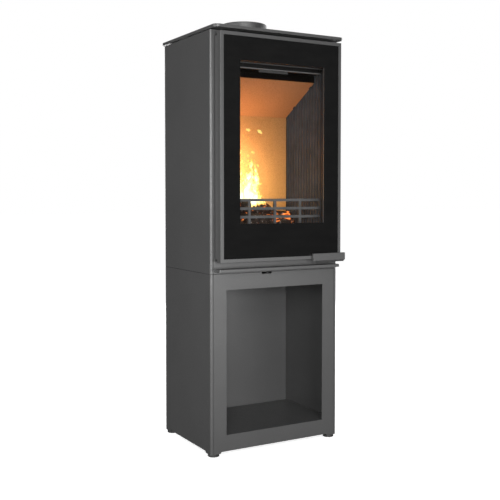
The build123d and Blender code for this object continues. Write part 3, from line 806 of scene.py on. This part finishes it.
def fire_glow():
    """Warm light of the fire on the boards, the hearth and the grate."""
    low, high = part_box("hearth_plate")
    for name, back, height, radius, power, colour, receivers in fire_lights:
        place = (fire_across, (low.y + high.y) / 2 + back, high.z + height)
        lamp = point_light(name, place, radius, power, colour)
        light_only(lamp, receivers)


def light_only(lamp, receivers):
    """Lets a lamp reach the named nodes and nothing else."""
    lit = bpy.data.collections.new(f"lit_by_{lamp.name}")
    for node in receivers:
        lit.objects.link(nodes_of[node])
    lamp.light_linking.receiver_collection = lit


def keep_off(lamp, pieces):
    """Keeps a studio lamp off the named pieces, such as boards that only the fire colours."""
    spared = bpy.data.collections.new(f"{lamp.name}_spares")
    for piece in pieces:
        spared.objects.link(piece)
    for entry in spared.collection_objects:
        entry.light_linking.link_state = "EXCLUDE"
    lamp.light_linking.receiver_collection = spared


# name, bearing from the front towards the right, height, distance, width, height of the box, power
soft_boxes = [
    ("key_box", -12, 0.95, 3.2, 0.8, 0.6, 65),
    ("upper_left_box", -35, 1.6, 3.2, 0.8, 0.6, 31),
    ("left_fill", -35, 0.85, 3.2, 0.8, 0.6, 22),
    ("low_fill", 16, 0.25, 3.2, 1.6, 0.6, 17),
    ("side_box", -90, 0.9, 3.2, 1.6, 1.6, 57),
    ("right_box", 112, 1.0, 3.2, 1.6, 1.6, 60),
    ("rear_box", 165, 1.2, 3.2, 1.6, 1.6, 60),
]
fire_coloured = [nodes_of["rear_lining"], nodes_of["baffle"]]
floor_near = 0.72
floor_bounce = 0.3
sky_glow = 0.03
ground_glow = 0.01


def studio(pane):
    """White surroundings for the eye, softer ones for reflections, and soft boxes."""
    world = bpy.data.worlds.new("studio")
    scene.world = world
    world.use_nodes = True
    tree = world.node_tree
    tree.nodes.clear()
    output = tree.nodes.new("ShaderNodeOutputWorld")
    seen = tree.nodes.new("ShaderNodeBackground")
    seen.inputs["Color"].default_value = (1, 1, 1, 1)
    seen.inputs["Strength"].default_value = 1.0
    ambient = tree.nodes.new("ShaderNodeBackground")
    ambient.inputs["Strength"].default_value = 1.0
    direction = tree.nodes.new("ShaderNodeTexCoord")
    split = tree.nodes.new("ShaderNodeSeparateXYZ")
    ramp = tree.nodes.new("ShaderNodeValToRGB")
    height = tree.nodes.new("ShaderNodeMapRange")
    height.inputs["From Min"].default_value = -1
    tree.links.new(direction.outputs["Generated"], split.inputs[0])
    tree.links.new(split.outputs["Z"], height.inputs["Value"])
    tree.links.new(height.outputs["Result"], ramp.inputs["Fac"])
    ramp.color_ramp.elements[0].position = 0.40
    ramp.color_ramp.elements[0].color = (*grey(ground_glow), 1)
    ramp.color_ramp.elements[1].position = 0.62
    ramp.color_ramp.elements[1].color = (*grey(sky_glow), 1)
    tree.links.new(ramp.outputs["Color"], ambient.inputs["Color"])
    path = tree.nodes.new("ShaderNodeLightPath")
    mix = tree.nodes.new("ShaderNodeMixShader")
    tree.links.new(path.outputs["Is Camera Ray"], mix.inputs["Fac"])
    tree.links.new(ambient.outputs[0], mix.inputs[1])
    tree.links.new(seen.outputs[0], mix.inputs[2])
    tree.links.new(mix.outputs[0], output.inputs["Surface"])

    for name, bearing, height, distance, width, tall, power in soft_boxes:
        angle = math.radians(bearing)
        place = (distance * math.sin(angle), -distance * math.cos(angle), height)
        lamp = area_light(name, place, (0, 0, 0.7), (width, tall), power)
        keep_off(lamp, [*fire_coloured, pane] if name == "low_fill" else fire_coloured)
    top_box = area_light("top_box", (0.4, 0.6, 3.3), (0, 0.2, 1.3), (1.6, 1.6), 22)
    light_only(top_box, ["top_plate", "flue_collar", "collar_bolts"])


def pale_floor():
    """Large pale floor, white away from the stove, dull to everything but the eye."""
    builder = bmesh.new()
    bmesh.ops.create_grid(builder, x_segments=8, y_segments=8, size=30)
    s = Shader("pale_floor")
    s.set(Roughness=0.95, Specular_IOR_Level=0.0, Emission_Color=(1, 1, 1, 1))
    s.colour(s.ramp(s.noise(3, 2), [(0.3, grey(0.80)), (0.7, grey(0.82))]))
    length = s.add("ShaderNodeVectorMath", operation="LENGTH")
    s.link(s.place, length.inputs[0])
    s.link(s.span(length.outputs["Value"], floor_near, 1.0, 0.5, 1.6), s.bsdf.inputs["Emission Strength"])
    s.bump(s.noise(300, 2), 0.05, 0.0003)
    dull = s.add("ShaderNodeBsdfDiffuse")
    dull.inputs["Color"].default_value = (*grey(floor_bounce), 1)
    path = s.add("ShaderNodeLightPath")
    mix = s.add("ShaderNodeMixShader")
    s.link(path.outputs["Is Camera Ray"], mix.inputs["Fac"])
    s.link(dull.outputs[0], mix.inputs[1])
    s.link(s.bsdf.outputs[0], mix.inputs[2])
    s.link(mix.outputs[0], s.tree.nodes["Material Output"].inputs["Surface"])
    floor = make_object("pale_floor", builder, [s.material])
    floor.location.z = cad_box[0].z - 0.0002
    floor.visible_glossy = False


def camera():
    """Stands front left of the stove and a little above its middle, turned slightly down."""
    data = bpy.data.cameras.new("camera")
    eye = bpy.data.objects.new("camera", data)
    scene.collection.objects.link(eye)
    data.lens = 59.69
    data.sensor_width = 36
    data.shift_y = -0.045
    data.clip_start = 0.05
    data.clip_end = 100
    eye.location = (-1.3561, -2.3488, 0.7944)
    yaw = math.radians(29.853)
    pitch = math.radians(2.285)
    eye.rotation_euler = (math.pi / 2 - pitch, 0, -yaw)
    scene.camera = eye


# ---- everything together ------------------------------------------------------------
scene.view_settings.view_transform = "Standard"
paint_nodes()
pane = door_pane()
door_rope()
rear_screws()
seam_shadow_strips()
fire()
fire_glow()
studio(pane)
pale_floor()
camera()
